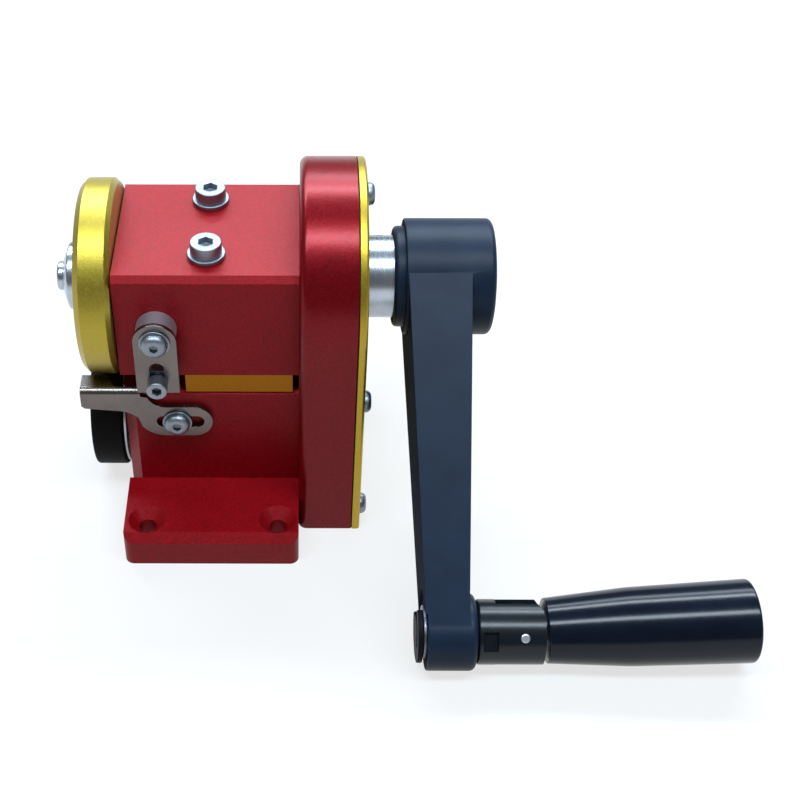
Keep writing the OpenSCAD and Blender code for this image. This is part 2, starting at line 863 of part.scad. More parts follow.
module shaft_sleeve() {
  color(c_steel) difference() {
    xtube(gear_end, collar_x, sleeve_r, shaft_r + press_gap, 0, crank_z);
    at_set_screw() cylinder(h = sleeve_r + 1, r = set_screw_r + thread_gap);
  }
}

module sleeve_set_screw() {
  color(c_black) at_set_screw() translate([0, 0, sleeve_r - 0.8]) difference() {
    translate([0, 0, -5]) cylinder(h = 5, r = set_screw_r);
    socket(1.15, 2);
  }
}

// face of the crank arm, hub at the origin, handle down
module arm_face() {
  top_r = hub_r - arm_inset;
  low_r = end_r - arm_inset;
  lean = asin((top_r - low_r) / crank_len);
  circle(top_r);
  translate([0, -crank_len]) circle(low_r);
  polygon([
    [top_r * cos(lean), -top_r * sin(lean)], [low_r * cos(lean), -crank_len - low_r * sin(lean)],
    [-low_r * cos(lean), -crank_len - low_r * sin(lean)], [-top_r * cos(lean), -top_r * sin(lean)]
  ]);
}

// edge view of the crank arm: thickness against distance along the arm
module arm_edge() {
  low = -crank_len - end_r - 1;
  polygon([
    [arm_left, hub_r + 1], [arm_left + arm_t_hub, hub_r + 1], [arm_left + arm_t_hub, 0],
    [arm_right_end, -crank_len + end_r], [arm_right_end, low], [arm_left_end, low],
    [arm_left_end, -crank_len], [arm_left, 0]
  ]);
}

// turns its children with the crank at rest, shaft axis at the origin
module at_crank() {
  translate([0, 0, crank_z]) rotate([-crank_rest, 0, 0]) children();
}

// moves its children from the shaft axis to the handle axis
module at_handle() {
  translate([0, -crank_len * sin(crank_rest), crank_z - crank_len * cos(crank_rest)]) children();
}

module crank_arm() {
  color(c_black) difference() {
    union() {
      at_crank() intersection() {
        xplate(arm_left, arm_left + arm_t_hub) arm_face();
        yplate(-hub_r - 1, hub_r + 1) arm_edge();
      }
      translate([hub_end, 0, crank_z]) rotate([0, -90, 0])
        rotate_extrude() rounded_strip(hub_r, hub_w, hub_round);
      xbar(collar_x, hub_x + eps, collar_r, 0, crank_z);
      at_handle() xbar(boss_x0, boss_x1, end_r, 0, 0);
    }
    at_handle() xbar(arm_left_end - 1, boss_x1 + 1, bush_r + press_gap, 0, 0);
    at_handle() xbar(arm_left_end - 1, boss_x0, end_r + 1, 0, 0);
    xbar(collar_x - 1, hub_end + 1, shaft_r + press_gap, 0, crank_z);
    xbar(hub_washer_x, hub_end + 1, hub_sink_r, 0, crank_z);
    key_hollow(collar_x - 1, drive_shaft_end - collar_x + 2, key_w, key_h, key_sink, shaft_r, crank_z);
  }
}

module hub_key() {
  color(c_steel) shaft_key(hub_x + 1, hub_key_len, key_w, key_h, key_sink, shaft_r, crank_z);
}

module hub_washer() {
  color(c_steel) xtube(hub_washer_x, hub_screw_x, hub_washer_r, hub_screw_r + bolt_gap, 0, crank_z);
}

module hub_screw() {
  color(c_steel) translate([hub_screw_x, 0, crank_z]) rotate([0, 90, 0])
    button_screw(hub_head_r, hub_head_h, hub_screw_r, hub_screw_len, 2);
}

module axle_bush() {
  color(c_steel) at_handle() difference() {
    union() {
      xbar(boss_x0 - bush_flange_t, boss_x1, bush_r, 0, 0);
      xbar(boss_x0 - bush_flange_t, boss_x0, bush_flange_r, 0, 0);
    }
    xbar(boss_x0 - 2, boss_x1 + 1, axle_r + run_gap, 0, 0);
  }
}

module lower_shaft() {
  color(c_steel) difference() {
    union() {
      xbar(roller_x + roller_disc_t, lower_shaft_end, shaft_r, 0, roller_z);
      xbar(roller_seat_end, roller_x + roller_disc_t + eps, seat_r, 0, roller_z);
    }
    xbar(roller_seat_end - 1, roller_bore_end, wheel_screw_r + thread_gap, 0, roller_z);
    key_hollow(roller_key_x, roller_key_len, seat_key_w, seat_key_h, seat_key_sink, seat_r, roller_z);
    key_hollow(gear_key_x, gear_key_len, key_w, key_h, key_sink, shaft_r, roller_z);
    xtube(gear_end, gear_end + clip_t + 0.05, shaft_r + 1, clip_groove_r, 0, roller_z);
  }
}

module pressure_roller() {
  c = roller_chamfer;
  color(c_rubber) difference() {
    xturn(roller_end, 0, roller_z, $fn = 96) polygon([
      [0, 0], [roller_r - c, 0], [roller_r, c], [roller_r, roller_w - c], [roller_r - c, roller_w],
      [0, roller_w]
    ]);
    xbar(roller_end - 1, roller_x + 1, seat_r + press_gap, 0, roller_z);
    xbar(roller_end - 1, roller_end + roller_sink, roller_sink_r, 0, roller_z);
    key_hollow(roller_end, roller_w + 1, seat_key_w, seat_key_h, seat_key_sink, seat_r, roller_z);
  }
}

module roller_disc() {
  color(c_steel) xtube(roller_x, roller_x + roller_disc_t, roller_r - 1.2, seat_r + press_gap, 0, roller_z);
}

module roller_key() {
  color(c_steel)
    shaft_key(roller_key_x, roller_key_len, seat_key_w, seat_key_h, seat_key_sink, seat_r, roller_z);
}

module roller_washer() {
  x1 = roller_end + roller_sink;
  color(c_steel) xtube(x1 - roller_washer_t, x1, roller_sink_r - 0.5, wheel_screw_r + bolt_gap, 0, roller_z);
}

module roller_screw() {
  color(c_steel) translate([roller_end + roller_sink - roller_washer_t, 0, roller_z]) rotate([0, -90, 0])
    button_screw(roller_head_r, roller_head_h, wheel_screw_r, roller_screw_len, 2);
}

module gear_clip() {
  color(c_black) difference() {
    xtube(gear_end + 0.02, gear_end + clip_t, clip_r, clip_groove_r + press_gap, 0, roller_z);
    translate([gear_end - 1, -2, roller_z]) cube([clip_t + 3, 4, clip_r + 1]);
  }
}

// handle parts: X along the axle from the fork's fold pin, Y along the pin, Z the fold direction
module at_fold() {
  at_handle() translate([fold_px, 0, 0]) rotate([-knuckle_turn, 0, 0]) children();
}

module knuckle_fork() {
  left = -fold_x;
  nose_y = knuckle_r - fork_round + 0.6;
  color(c_black) at_fold() difference() {
    intersection() {
      xbar(left, fork_nose, knuckle_r, 0, 0);
      yplate(-knuckle_r - 1, knuckle_r + 1) union() {
        translate([left, -knuckle_r - 1]) square([fold_x + fork_nose - fork_round, 2 * knuckle_r + 2]);
        translate([left, -knuckle_r - 1]) square([fold_x + fork_nose, knuckle_r + 1 + nose_y]);
        translate([fork_nose - fork_round, nose_y]) circle(fork_round);
      }
    }
    translate([-fork_root, -slot_w / 2, -knuckle_r - 1]) cube([knuckle_len, slot_w, 2 * knuckle_r + 2]);
    ybar(-knuckle_r - 1, knuckle_r + 1, fold_pin_r + press_gap, 0, 0);
    xbar(left - 1, left + axle_in_fork, axle_r + press_gap, 0, 0);
    translate([left + fork_pocket[0], -knuckle_r - 1, fork_pocket_z[0]])
      cube([fork_pocket[1], fork_pocket_deep + 1, fork_pocket_z[1] - fork_pocket_z[0]]);
  }
}

module handle_axle() {
  color(c_black) at_handle() difference() {
    xbar(axle_end, fork_x0 + axle_in_fork - 0.1, axle_r, 0, 0);
    xtube(axle_clip_x - 0.02, axle_clip_x + axle_clip_t + 0.02, axle_r + 1, axle_groove_r, 0, 0);
  }
}

// retaining clip, open towards the shaft, with its two ends cut square
module axle_clip() {
  wide = axle_clip_r + 1;
  color(c_black) at_handle() difference() {
    xtube(axle_clip_x, axle_clip_x + axle_clip_t, axle_clip_r, axle_groove_r + press_gap, 0, 0);
    translate([axle_clip_x - 1, 0, 0]) rotate([-crank_rest, 0, 0]) {
      translate([0, -wide, axle_clip_flat]) cube([axle_clip_t + 2, 2 * wide, wide]);
      translate([0, -axle_clip_gap / 2, axle_groove_r / 2])
        cube([axle_clip_t + 2, axle_clip_gap, wide]);
    }
  }
}

module fold_pin() {
  color(c_steel) at_fold() ybar(-knuckle_r + 0.1, knuckle_r - 0.1, fold_pin_r, 0, 0);
}

// tilts its children about the fold pin to the rest position of the grip
module at_grip() {
  at_fold() rotate([0, -grip_tilt, 0]) children();
}

module fold_spindle() {
  half = slot_w / 2 - tongue_gap;
  color(c_steel) at_grip() difference() {
    union() {
      ybar(-half, half, tongue_r, 0, 0);
      xbar(tongue_r - 2, spindle_len, spindle_r, 0, 0);
    }
    ybar(-half - 1, half + 1, fold_pin_r + run_gap, 0, 0);
  }
}

module spindle_nut() {
  color(c_steel) at_grip() translate([spindle_len - nut_t - 1, 0, 0]) rotate([0, 90, 0]) difference() {
    cylinder(h = nut_t, r = nut_r, $fn = 6);
    translate([0, 0, -1]) cylinder(h = nut_t + 2, r = spindle_r + thread_gap);
  }
}

module handle_grip() {
  end = grip_from + grip_len;
  flat = grip_len - grip_round;
  color(c_grip) at_grip() difference() {
    translate([grip_from, 0, 0]) rotate([0, 90, 0]) rotate_extrude($fn = 64) {
      polygon([
        [0, 0], [grip_r0 - 0.5, 0], [grip_r0, 0.5], [grip_r1, grip_taper], [grip_r2, flat],
        [grip_r2 - grip_round, flat], [grip_r2 - grip_round, grip_len], [0, grip_len]
      ]);
      translate([grip_r2 - grip_round, flat]) circle(grip_round);
    }
    xbar(grip_from - 1, end - plug_t - 1, spindle_r + run_gap, 0, 0);
    xbar(pocket_from, end - plug_t, grip_pocket_r, 0, 0);
  }
}

// guide plate outline seen from the front
module guide_outline() {
  low = guide_screw_z - guide_arm_r;
  high = guide_screw_z + guide_arm_r;
  flange_z = shelf_z - 8.8;
  shoulder_x = guide_left + 11.6;
  shoulder_r = 9;
  low_x = guide_screw_x - 3.9;
  low_r = 9.6;
  high_x = guide_screw_x - 3.3;
  high_r = 6.5;
  polygon(concat(
    [
      [guide_left, shelf_z - bend_r], [guide_left, flange_z + 2], [guide_left + 1, flange_z + 1],
      [shoulder_x, flange_z]
    ],
    arc(shoulder_x, flange_z - shoulder_r, shoulder_r, 84, 40, 6),
    arc(low_x, low + low_r, low_r, 216, 270, 8),
    arc(guide_arm_end - guide_arm_r + 3.8, guide_screw_z, guide_arm_r, -90, 90, 16),
    arc(high_x, high + high_r, high_r, 270, 200, 8),
    [[guide_bend_x, shelf_z - bend_r]]
  ));
}

module guide_plate() {
  y1 = guide_front + shelf_d;
  z0 = shelf_z - bend_r;
  shelf_cut_x = guide_left + 11.1;
  color(c_steel) difference() {
    union() {
      yplate(guide_front, guide_y) guide_outline();
      intersection() {
        xplate(guide_left, guide_bend_x) difference() {
          union() {
            translate([guide_front, z0 - 1]) square([guide_t, 1.001]);
            translate([guide_front + bend_r, z0]) circle(bend_r);
            translate([guide_front + bend_r, shelf_z - guide_t]) square([shelf_d - bend_r, guide_t]);
          }
          translate([guide_front + bend_r, z0]) circle(bend_r - guide_t);
          translate([guide_front + guide_t, z0 - 3]) square([bend_r, 3]);
          translate([guide_front + bend_r, z0 - 3]) square([bend_r + 1, 3 + bend_r - guide_t]);
        }
        linear_extrude(height = top_z) polygon([
          [guide_left, guide_front - 1], [guide_bend_x, guide_front - 1],
          [guide_bend_x, guide_front + bend_r],
          [shelf_cut_x, guide_front + bend_r], [shelf_cut_x - 3, y1], [guide_left, y1]
        ]);
      }
    }
    for (side = [-1, 1]) {
      ybar(guide_front - 1, guide_y + 1, guide_slot_r, guide_slot_mid + side * guide_travel, guide_screw_z);
    }
    translate([guide_slot_mid - guide_travel, guide_front - 1, guide_screw_z - guide_slot_r])
      cube([2 * guide_travel, guide_t + 2, 2 * guide_slot_r]);
  }
}

module guide_washer() {
  color(c_steel) difference() {
    ybar(guide_front - guide_washer_t, guide_front, guide_washer_r, guide_screw_x, guide_screw_z);
    ybar(guide_front - 2, guide_front + 1, small_r + bolt_gap, guide_screw_x, guide_screw_z);
  }
}

module guide_screw() {
  seat = guide_front - guide_washer_t;
  color(c_steel) translate([guide_screw_x, seat, guide_screw_z]) rotate([90, 0, 0])
    button_screw(button_r, button_h, small_r, -half_d - seat + small_len - 1, 1.45);
}

module standoff_post() {
  color(c_steel) difference() {
    ybar(link_back, -half_d, post_r, link_x, link_z);
    ybar(link_back - 1, -half_d + 1, small_r + bolt_gap, link_x, link_z);
  }
}

module link_plate() {
  bottom = link_z - link_drop;
  color(c_steel) difference() {
    union() {
      ybar(link_front, link_back, link_w / 2, link_x, link_z);
      translate([link_x - link_w / 2, link_front, bottom]) cube([link_w, link_t, link_drop]);
    }
    ybar(link_front - 1, link_back + 1, small_r + bolt_gap, link_x, link_z);
    for (z = [stop_z, stop_z + stop_travel]) {
      ybar(link_front - 1, link_back + 1, link_slot_r, link_x, z);
    }
    translate([link_x - link_slot_r, link_front - 1, stop_z])
      cube([2 * link_slot_r, link_t + 2, stop_travel]);
  }
}

module link_washer() {
  color(c_steel) difference() {
    ybar(link_front - guide_washer_t, link_front, guide_washer_r, link_x, link_z);
    ybar(link_front - 2, link_front + 1, small_r + bolt_gap, link_x, link_z);
  }
}

module link_screw() {
  seat = link_front - guide_washer_t;
  color(c_steel) translate([link_x, seat, link_z]) rotate([90, 0, 0])
    button_screw(button_r, button_h, small_r, -half_d - seat + small_len - 1, 1.45);
}

module stop_screw() {
  color(c_steel) translate([link_x, link_front, stop_z]) rotate([90, 0, 0])
    cap_screw(stop_head_r, stop_head_h, small_r, stop_len, 1.7);
}

module stop_nut() {
  color(c_steel) translate([link_x, link_back, stop_z]) rotate([-90, 0, 0]) difference() {
    cylinder(h = stop_nut_t, r = stop_nut_r, $fn = 6);
    translate([0, 0, -1]) cylinder(h = stop_nut_t + 2, r = small_r + thread_gap);
  }
}

lower_body();
upper_body();
spacer_plate();
clamp_screws();
clamp_washers();
gear_case();
case_screws();
cover_gasket();
gear_cover();
cover_screws();
bearing_outers();
bearing_shields();
standoff_post();
link_plate();
link_washer();
link_screw();
guide_washer();
guide_screw();
crank_shaft();
upper_inners();
feed_wheel();
wheel_key();
wheel_washer();
wheel_screw();
upper_gear_spacer();
drive_gear();
drive_gear_key();
shaft_sleeve();
sleeve_set_screw();
crank_arm();
hub_key();
hub_washer();
hub_screw();
axle_bush();
lower_shaft();
lower_inners();
pressure_roller();
roller_disc();
roller_key();
roller_washer();
roller_screw();
lower_gear_spacer();
driven_gear();
driven_gear_key();
gear_clip();
knuckle_fork();
handle_axle();
axle_clip();
fold_pin();
fold_spindle();
spindle_nut();
handle_grip();
guide_plate();
stop_screw();
stop_nut();
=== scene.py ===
"""Looks, camera and light of the hand-cranked feed machine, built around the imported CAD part.

Frame: metres, X along the shafts towards the crank, Y away from the foot, Z up, bench at Z = 0.
Sizes of turned and fastened pieces are written in millimetres and repeat the CAD model's values.
Scales of grain and marks are counts of the pattern per metre, and their depths are in metres.
"""

import json
import math

import bmesh
import bpy
from mathutils import Matrix, Vector

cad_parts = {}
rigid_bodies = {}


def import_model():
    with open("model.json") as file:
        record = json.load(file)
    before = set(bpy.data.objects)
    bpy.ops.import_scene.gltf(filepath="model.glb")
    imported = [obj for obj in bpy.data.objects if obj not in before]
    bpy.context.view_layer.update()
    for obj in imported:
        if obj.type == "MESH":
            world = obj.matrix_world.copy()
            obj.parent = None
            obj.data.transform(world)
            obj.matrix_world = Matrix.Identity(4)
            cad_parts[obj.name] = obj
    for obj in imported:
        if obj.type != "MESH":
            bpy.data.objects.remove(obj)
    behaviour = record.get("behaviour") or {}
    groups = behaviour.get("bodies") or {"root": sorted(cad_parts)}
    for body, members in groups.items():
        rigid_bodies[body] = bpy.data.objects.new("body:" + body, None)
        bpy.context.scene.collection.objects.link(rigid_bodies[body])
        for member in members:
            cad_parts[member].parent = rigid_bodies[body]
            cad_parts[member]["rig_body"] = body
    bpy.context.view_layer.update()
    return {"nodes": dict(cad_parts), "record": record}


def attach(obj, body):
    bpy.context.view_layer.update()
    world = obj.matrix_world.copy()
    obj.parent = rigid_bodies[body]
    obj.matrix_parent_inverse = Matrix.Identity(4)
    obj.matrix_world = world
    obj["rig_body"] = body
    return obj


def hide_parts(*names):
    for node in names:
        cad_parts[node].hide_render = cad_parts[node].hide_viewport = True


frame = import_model()

MM = 0.001
CRANK_Z = 80
ROLLER_Z = 25
HALF_D = 26.9
TOP_Z = 99.1
COVER_X = 50
CASE_R = 38.9
CRANK_LENGTH = 115
CRANK_REST = math.radians(53.8)
HANDLE_Y = -CRANK_LENGTH * math.sin(CRANK_REST)
HANDLE_Z = CRANK_Z - CRANK_LENGTH * math.cos(CRANK_REST)
FOLD_PIN_X = 98.1
KNUCKLE_TURN = math.radians(40)
GRIP_TILT = math.radians(3)
SHAFT_AXIS = Vector((0, 0, CRANK_Z)) * MM
ROLLER_AXIS = Vector((0, 0, ROLLER_Z)) * MM
HANDLE_AXIS = Vector((0, HANDLE_Y, HANDLE_Z)) * MM
TO_LEFT, TO_RIGHT, UP, TO_FOOT = (-1, 0, 0), (1, 0, 0), (0, 0, 1), (0, -1, 0)


# ---------------------------------------------------------------- materials


class Graph:
    """A node material with one Principled shader, in object coordinates."""

    def __init__(self, name):
        self.material = bpy.data.materials.new(name)
        self.material.use_nodes = True
        self.tree = self.material.node_tree
        self.tree.nodes.clear()
        self.shader = self.node("ShaderNodeBsdfPrincipled")
        output = self.node("ShaderNodeOutputMaterial")
        self.link(self.shader.outputs["BSDF"], output.inputs["Surface"])
        self.place = self.node("ShaderNodeTexCoord").outputs["Object"]

    def node(self, kind, **settings):
        made = self.tree.nodes.new(kind)
        for key, value in settings.items():
            setattr(made, key, value)
        return made

    def link(self, source, target):
        self.tree.links.new(source, target)

    def mapped(self, location=(0, 0, 0), scale=(1, 1, 1)):
        mapping = self.node("ShaderNodeMapping")
        mapping.inputs["Location"].default_value = location
        mapping.inputs["Scale"].default_value = scale
        self.link(self.place, mapping.inputs["Vector"])
        return mapping.outputs["Vector"]

    def noise(self, scale, detail, roughness=0.55, source=None):
        noise = self.node("ShaderNodeTexNoise")
        noise.inputs["Scale"].default_value = scale
        noise.inputs["Detail"].default_value = detail
        noise.inputs["Roughness"].default_value = roughness
        self.link(source or self.place, noise.inputs["Vector"])
        return noise.outputs["Fac"]

    def tones(self, value, dark, light, start=0.3, stop=0.7):
        """Fades from the dark to the light colour as value goes from start to stop."""
        ramp = self.node("ShaderNodeValToRGB")
        stops = zip(ramp.color_ramp.elements, (start, stop), (dark, light))
        for element, position, colour in stops:
            element.position = position
            element.color = (*colour, 1)
        self.link(value, ramp.inputs["Fac"])
        return ramp.outputs["Color"]

    def levels(self, value, low, high, start=0.3, stop=0.7):
        """Goes from low to high as value goes from start to stop."""
        span = self.node("ShaderNodeMapRange")
        span.inputs["From Min"].default_value = start
        span.inputs["From Max"].default_value = stop
        span.inputs["To Min"].default_value = low
        span.inputs["To Max"].default_value = high
        self.link(value, span.inputs["Value"])
        return span.outputs["Result"]

    def added(self, first, second):
        """Sum of two values, kept between 0 and 1."""
        total = self.node("ShaderNodeMath", operation="ADD", use_clamp=True)
        self.link(first, total.inputs[0])
        self.link(second, total.inputs[1])
        return total.outputs["Value"]

    def bump(self, height, distance, strength, normal=None):
        bump = self.node("ShaderNodeBump")
        bump.inputs["Distance"].default_value = distance
        bump.inputs["Strength"].default_value = strength
        self.link(height, bump.inputs["Height"])
        if normal:
            self.link(normal, bump.inputs["Normal"])
        return bump.outputs["Normal"]

    def turned(self, axis, scale):
        """Fine lathe marks around an X axis: rings on faces, hoops on cylinders."""
        centred = self.mapped(location=(0, -axis.y, -axis.z))
        parts = self.node("ShaderNodeSeparateXYZ")
        self.link(centred, parts.inputs["Vector"])
        flat = self.node("ShaderNodeCombineXYZ")
        self.link(parts.outputs["Y"], flat.inputs["X"])
        self.link(parts.outputs["Z"], flat.inputs["Y"])
        radius = self.node("ShaderNodeVectorMath", operation="LENGTH")
        self.link(flat.outputs["Vector"], radius.inputs[0])
        rings = self.node("ShaderNodeCombineXYZ")
        self.link(radius.outputs["Value"], rings.inputs["X"])
        self.link(parts.outputs["X"], rings.inputs["Y"])
        return self.noise(scale, detail=2, source=rings.outputs["Vector"])

    def set(self, **values):
        for key, value in values.items():
            self.shader.inputs[key.replace("_", " ")].default_value = value

    def wire(self, **sources):
        for key, source in sources.items():
            self.link(source, self.shader.inputs[key.replace("_", " ")])


FINE_GRAIN = 0.000035
COLOUR_DRIFT = 0.1
STAIN_TONE = 0.8


def anodised(
    name, dark, light, roughness, coat, gloss, metal=1.0, grain_depth=FINE_GRAIN, axis=None,
):
    """Bead-blasted aluminium with a dyed layer, part metal and part dye, under a clear oxide."""
    g = Graph(name)
    cloud = g.noise(55, detail=4)
    grain = g.noise(1500, detail=3, roughness=0.75)
    speckle = g.levels(grain, 0.1, 0.9, start=0.4, stop=0.6)
    mottled = g.added(g.levels(cloud, -COLOUR_DRIFT, COLOUR_DRIFT), speckle)
    blasted = g.bump(grain, grain_depth, 0.5)
    if axis:
        blasted = g.bump(g.turned(axis, 2600), 0.00003, 0.5, normal=blasted)
    g.wire(
        Base_Color=g.tones(mottled, dark, light, start=0, stop=1),
        Roughness=g.levels(grain, roughness - 0.05, roughness + 0.08),
        Normal=blasted,
        Coat_Normal=blasted,
    )
    g.set(
        Metallic=metal, Specular_IOR_Level=0.1,
        Coat_Weight=coat, Coat_Roughness=gloss, Coat_IOR=1.45,
    )
    return g.material


def steel(name, tint, roughness, axis=None, stretch=(1, 1, 1), scale=1400, metal=1.0):
    """Bright steel, turned around an X axis or brushed across the squeezed directions."""
    g = Graph(name)
    stain = g.noise(90, detail=4)
    if axis:
        marks, relief = g.turned(axis, 5200), 0.03
    else:
        marks, relief = g.noise(scale, detail=3, source=g.mapped(scale=stretch)), 0.3
    stained = tuple(channel * STAIN_TONE for channel in tint)
    g.wire(
        Base_Color=g.tones(stain, stained, tint),
        Roughness=g.levels(marks, roughness * 0.93, roughness * 1.1),
        Normal=g.bump(marks, 0.00002, relief),
    )
    g.set(Metallic=metal)
    return g.material


def coated(name, dark, light, roughness, grain_scale, grain_depth, specular):
    """Dielectric black: powder coat, moulded plastic or rubber, by its grain and gloss."""
    g = Graph(name)
    cloud = g.noise(70, detail=3)
    grain = g.noise(grain_scale, detail=3)
    g.wire(
        Base_Color=g.tones(cloud, dark, light),
        Roughness=g.levels(grain, roughness * 0.95, roughness * 1.08),
        Normal=g.bump(grain, grain_depth, 0.6),
    )
    g.set(Specular_IOR_Level=specular)
    return g.material


RED = anodised(
    "red_anodised", dark=(0.165, 0.0008, 0.003), light=(0.27, 0.0016, 0.006),
    roughness=0.42, coat=0.2, gloss=0.36, metal=0.26, grain_depth=0.00013,
)
RED_MILLED = anodised(
    "red_milled", dark=(0.13, 0.0008, 0.003), light=(0.20, 0.0014, 0.006),
    roughness=0.31, coat=0.28, gloss=0.22, metal=0.5, grain_depth=0.00005,
)
GOLD = anodised(
    "gold_anodised", dark=(0.385, 0.268, 0.016), light=(0.455, 0.32, 0.026),
    roughness=0.38, coat=0.4, gloss=0.36,
)
GOLD_TURNED = anodised(
    "gold_turned", dark=(0.36, 0.275, 0.02), light=(0.43, 0.33, 0.032),
    roughness=0.42, coat=0.6, gloss=0.40, grain_depth=0.00006, axis=SHAFT_AXIS,
)
# Darker, browner copy of the gold anodised finish for the spacer plate between the blocks:
# painted shade, standing in for the shade on its front face.
GOLD_SHADED = anodised(
    "gold_painted_shade", dark=(0.22, 0.080, 0.003), light=(0.28, 0.105, 0.005),
    roughness=0.34, coat=0.1, gloss=0.3,
)
STEEL = steel("bright_steel", (0.27, 0.30, 0.34), 0.42, stretch=(1, 1, 12))
POST_STEEL = steel("post_steel", (0.60, 0.64, 0.70), 0.48, stretch=(1, 12, 1))
PIN_STEEL = steel("pin_steel", (0.82, 0.86, 0.90), 0.34, metal=0.95)
SHEET_STEEL = steel("sheet_steel", (0.175, 0.15, 0.14), 0.28, stretch=(14, 1, 1), scale=900)
TURNED_STEEL = steel("turned_steel", (0.50, 0.55, 0.61), 0.26, axis=SHAFT_AXIS)
ROLLER_STEEL = steel("roller_steel", (0.42, 0.44, 0.46), 0.28, axis=ROLLER_AXIS)
BLACK = coated(
    "black_coated", dark=(0.0045, 0.0115, 0.026), light=(0.0075, 0.0165, 0.036),
    roughness=0.42, grain_scale=2200, grain_depth=0.00003, specular=0.16,
)
# Darker, duller copy of the coated black for the crank arm's side faces: lower gloss and more
# roughness, and a darker base colour that is painted shade on those sides.
BLACK_SIDES_SHADED = coated(
    "black_sides_painted_shade", dark=(0.004, 0.0085, 0.018), light=(0.007, 0.013, 0.026),
    roughness=0.75, grain_scale=1500, grain_depth=0.00006, specular=0.03,
)
KNUCKLE_BLACK = coated(
    "black_burnished", dark=(0.003, 0.005, 0.008), light=(0.005, 0.008, 0.012),
    roughness=0.24, grain_scale=900, grain_depth=0.000002, specular=0.3,
)
GRIP = coated(
    "black_grip", dark=(0.0015, 0.0035, 0.009), light=(0.003, 0.006, 0.013),
    roughness=0.18, grain_scale=350, grain_depth=0.000004, specular=0.24,
)
RUBBER = coated(
    "black_rubber", dark=(0.003, 0.0025, 0.0025), light=(0.006, 0.005, 0.005),
    roughness=0.6, grain_scale=1500, grain_depth=0.00003, specular=0.08,
)
SEAL = coated(
    "dark_seal", dark=(0.012, 0.007, 0.005), light=(0.02, 0.012, 0.008),
    roughness=0.6, grain_scale=1500, grain_depth=0.00004, specular=0.1,
)
OXIDE = coated(
    "black_oxide", dark=(0.004, 0.004, 0.006), light=(0.008, 0.008, 0.011),
    roughness=0.5, grain_scale=1200, grain_depth=0.00003, specular=0.05,
)

BY_SLOT = {
    "red_anodised": RED,
    "gold_anodised": GOLD,
    "bright_steel": STEEL,
    "black_coated": BLACK,
    "black_grip": GRIP,
    "black_rubber": RUBBER,
    "dark_seal": SEAL,
    "black_oxide": OXIDE,
}
BY_NODE = {
    "standoff_post": POST_STEEL,
    "fold_pin": PIN_STEEL,
    "gear_case": RED_MILLED,
    "feed_wheel": GOLD_TURNED,
    # spacer plate: the darker copy of the gold, painted shade
    "spacer_plate": GOLD_SHADED,
    "wheel_washer": TURNED_STEEL,
    "wheel_screw": TURNED_STEEL,
    "shaft_sleeve": TURNED_STEEL,
    "crank_shaft": TURNED_STEEL,
    "hub_washer": TURNED_STEEL,
    "roller_disc": ROLLER_STEEL,
    "roller_washer": ROLLER_STEEL,
    "lower_shaft": ROLLER_STEEL,
    "link_plate": SHEET_STEEL,
    "guide_plate": SHEET_STEEL,
    "knuckle_fork": KNUCKLE_BLACK,
}
SLOT_OF = {part["node"]: part["material_slot"] for part in frame["record"]["subparts"]}


# ---------------------------------------------------------------- geometry helpers

SMOOTH_BELOW = math.radians(32)
SHARP_ABOVE = math.radians(25)
FACET_ANGLE = math.radians(0.4)
WELD_REACH = 0.002 * MM
ON_CIRCLE_REACH = 0.05 * MM
LONGEST_FILLET = 0.48
SCREW_TURNS = 48
SOCKET_LEAD = 0.14
SOCKET_POINT = 0.3
DOME_STEPS = 7
DOME_RIM = 0.16


def paint(thing, material):
    thing.data.materials.clear()
    thing.data.materials.append(material)


def finish_of(node):
    return BY_NODE.get(node) or BY_SLOT[SLOT_OF[node]]


def settle(bm, name, node):
    """Makes the mesh an object that stands for a CAD node and rides on its body."""
    bmesh.ops.recalc_face_normals(bm, faces=bm.faces)
    mesh = bpy.data.meshes.new(name)
    bm.to_mesh(mesh)
    bm.free()
    mesh.shade_smooth()
    mesh.set_sharp_from_angle(angle=SMOOTH_BELOW)
    thing = bpy.data.objects.new(name, mesh)
    bpy.context.scene.collection.objects.link(thing)
    normals = thing.modifiers.new("flat_faces_first", "WEIGHTED_NORMAL")
    normals.keep_sharp = True
    paint(thing, finish_of(node))
    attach(thing, frame["nodes"][node]["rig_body"])
    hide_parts(node)
    return thing


def sharp_edges(bm):
    joined = [edge for edge in bm.edges if len(edge.link_faces) == 2]
    return [edge for edge in joined if edge.calc_face_angle(0) > SHARP_ABOVE]


def bevelled(bm, edges, width, segments):
    bmesh.ops.bevel(
        bm, geom=edges, offset=width * MM, offset_type="OFFSET", segments=segments,
        profile=0.5, affect="EDGES", clamp_overlap=True,
    )


def refined(node, width, rounder=()):
    """The node's own shape with rounded edges; rounder picks edges that get a larger radius."""
    bm = bmesh.new()
    bm.from_mesh(frame["nodes"][node].data)
    bmesh.ops.remove_doubles(bm, verts=bm.verts, dist=WELD_REACH)
    bmesh.ops.dissolve_limit(bm, angle_limit=FACET_ANGLE, verts=bm.verts, edges=bm.edges)
    for picks, wide in rounder:
        bevelled(bm, [edge for edge in sharp_edges(bm) if picks(edge)], wide, segments=5)
    bevelled(bm, sharp_edges(bm), width, segments=3)
    return settle(bm, node + "_finish", node)


def on_circle(x, centre, radius):
    """Picks the edges of a circle about an X axis; x and radius in millimetres."""

    def picks(edge):
        for vert in edge.verts:
            away = Vector((0, vert.co.y - centre.y, vert.co.z - centre.z)).length
            misses = abs(vert.co.x - x * MM), abs(away - radius * MM)
            if max(misses) > ON_CIRCLE_REACH:
                return False
        return True

    return picks


